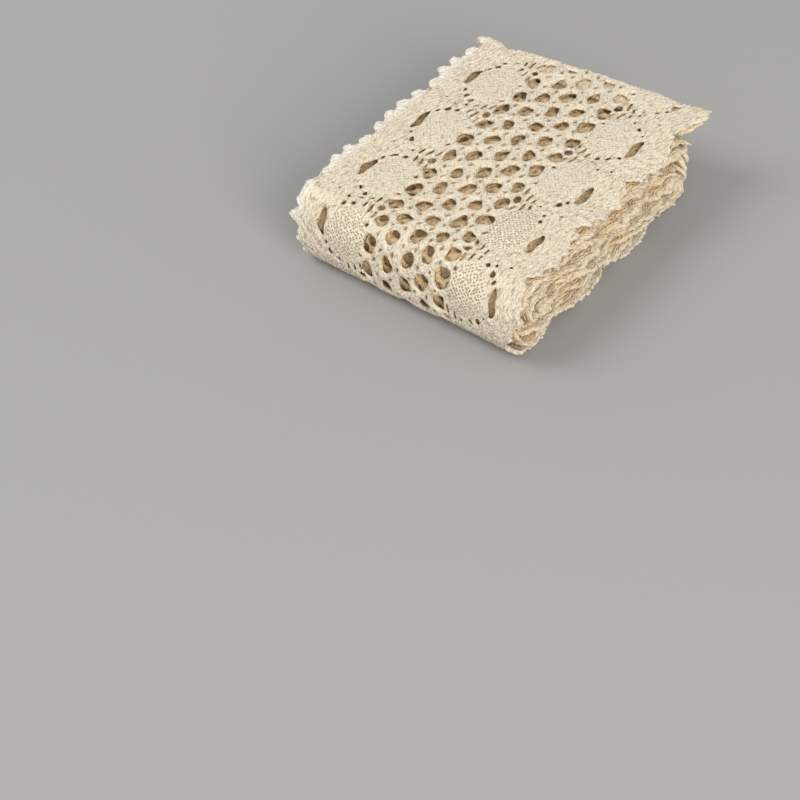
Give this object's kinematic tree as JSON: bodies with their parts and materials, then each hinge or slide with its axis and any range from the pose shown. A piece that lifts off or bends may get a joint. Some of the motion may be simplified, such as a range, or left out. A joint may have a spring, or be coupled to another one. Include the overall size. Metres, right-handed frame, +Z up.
{
  "type": "roll of lace trim",
  "caption": "Strip of cotton lace trim wound flat on itself, with scalloped picot edges, leaf shaped slits and a net middle.",
  "frame": {"origin": "centre of the bounding box in X and Y, on the surface that the roll lies on", "axes": "+Z up through the layers, +X across the lace, +Y from the smooth nose to the loose end"},
  "size_m": [0.0664, 0.0852, 0.0224],
  "materials": {
    "lace_cotton": "matt cream cotton yarn, open lace with fine relief"
  },
  "bodies": {
    "root": {"lace_strip": "lace_cotton"}
  },
  "joints": []
}
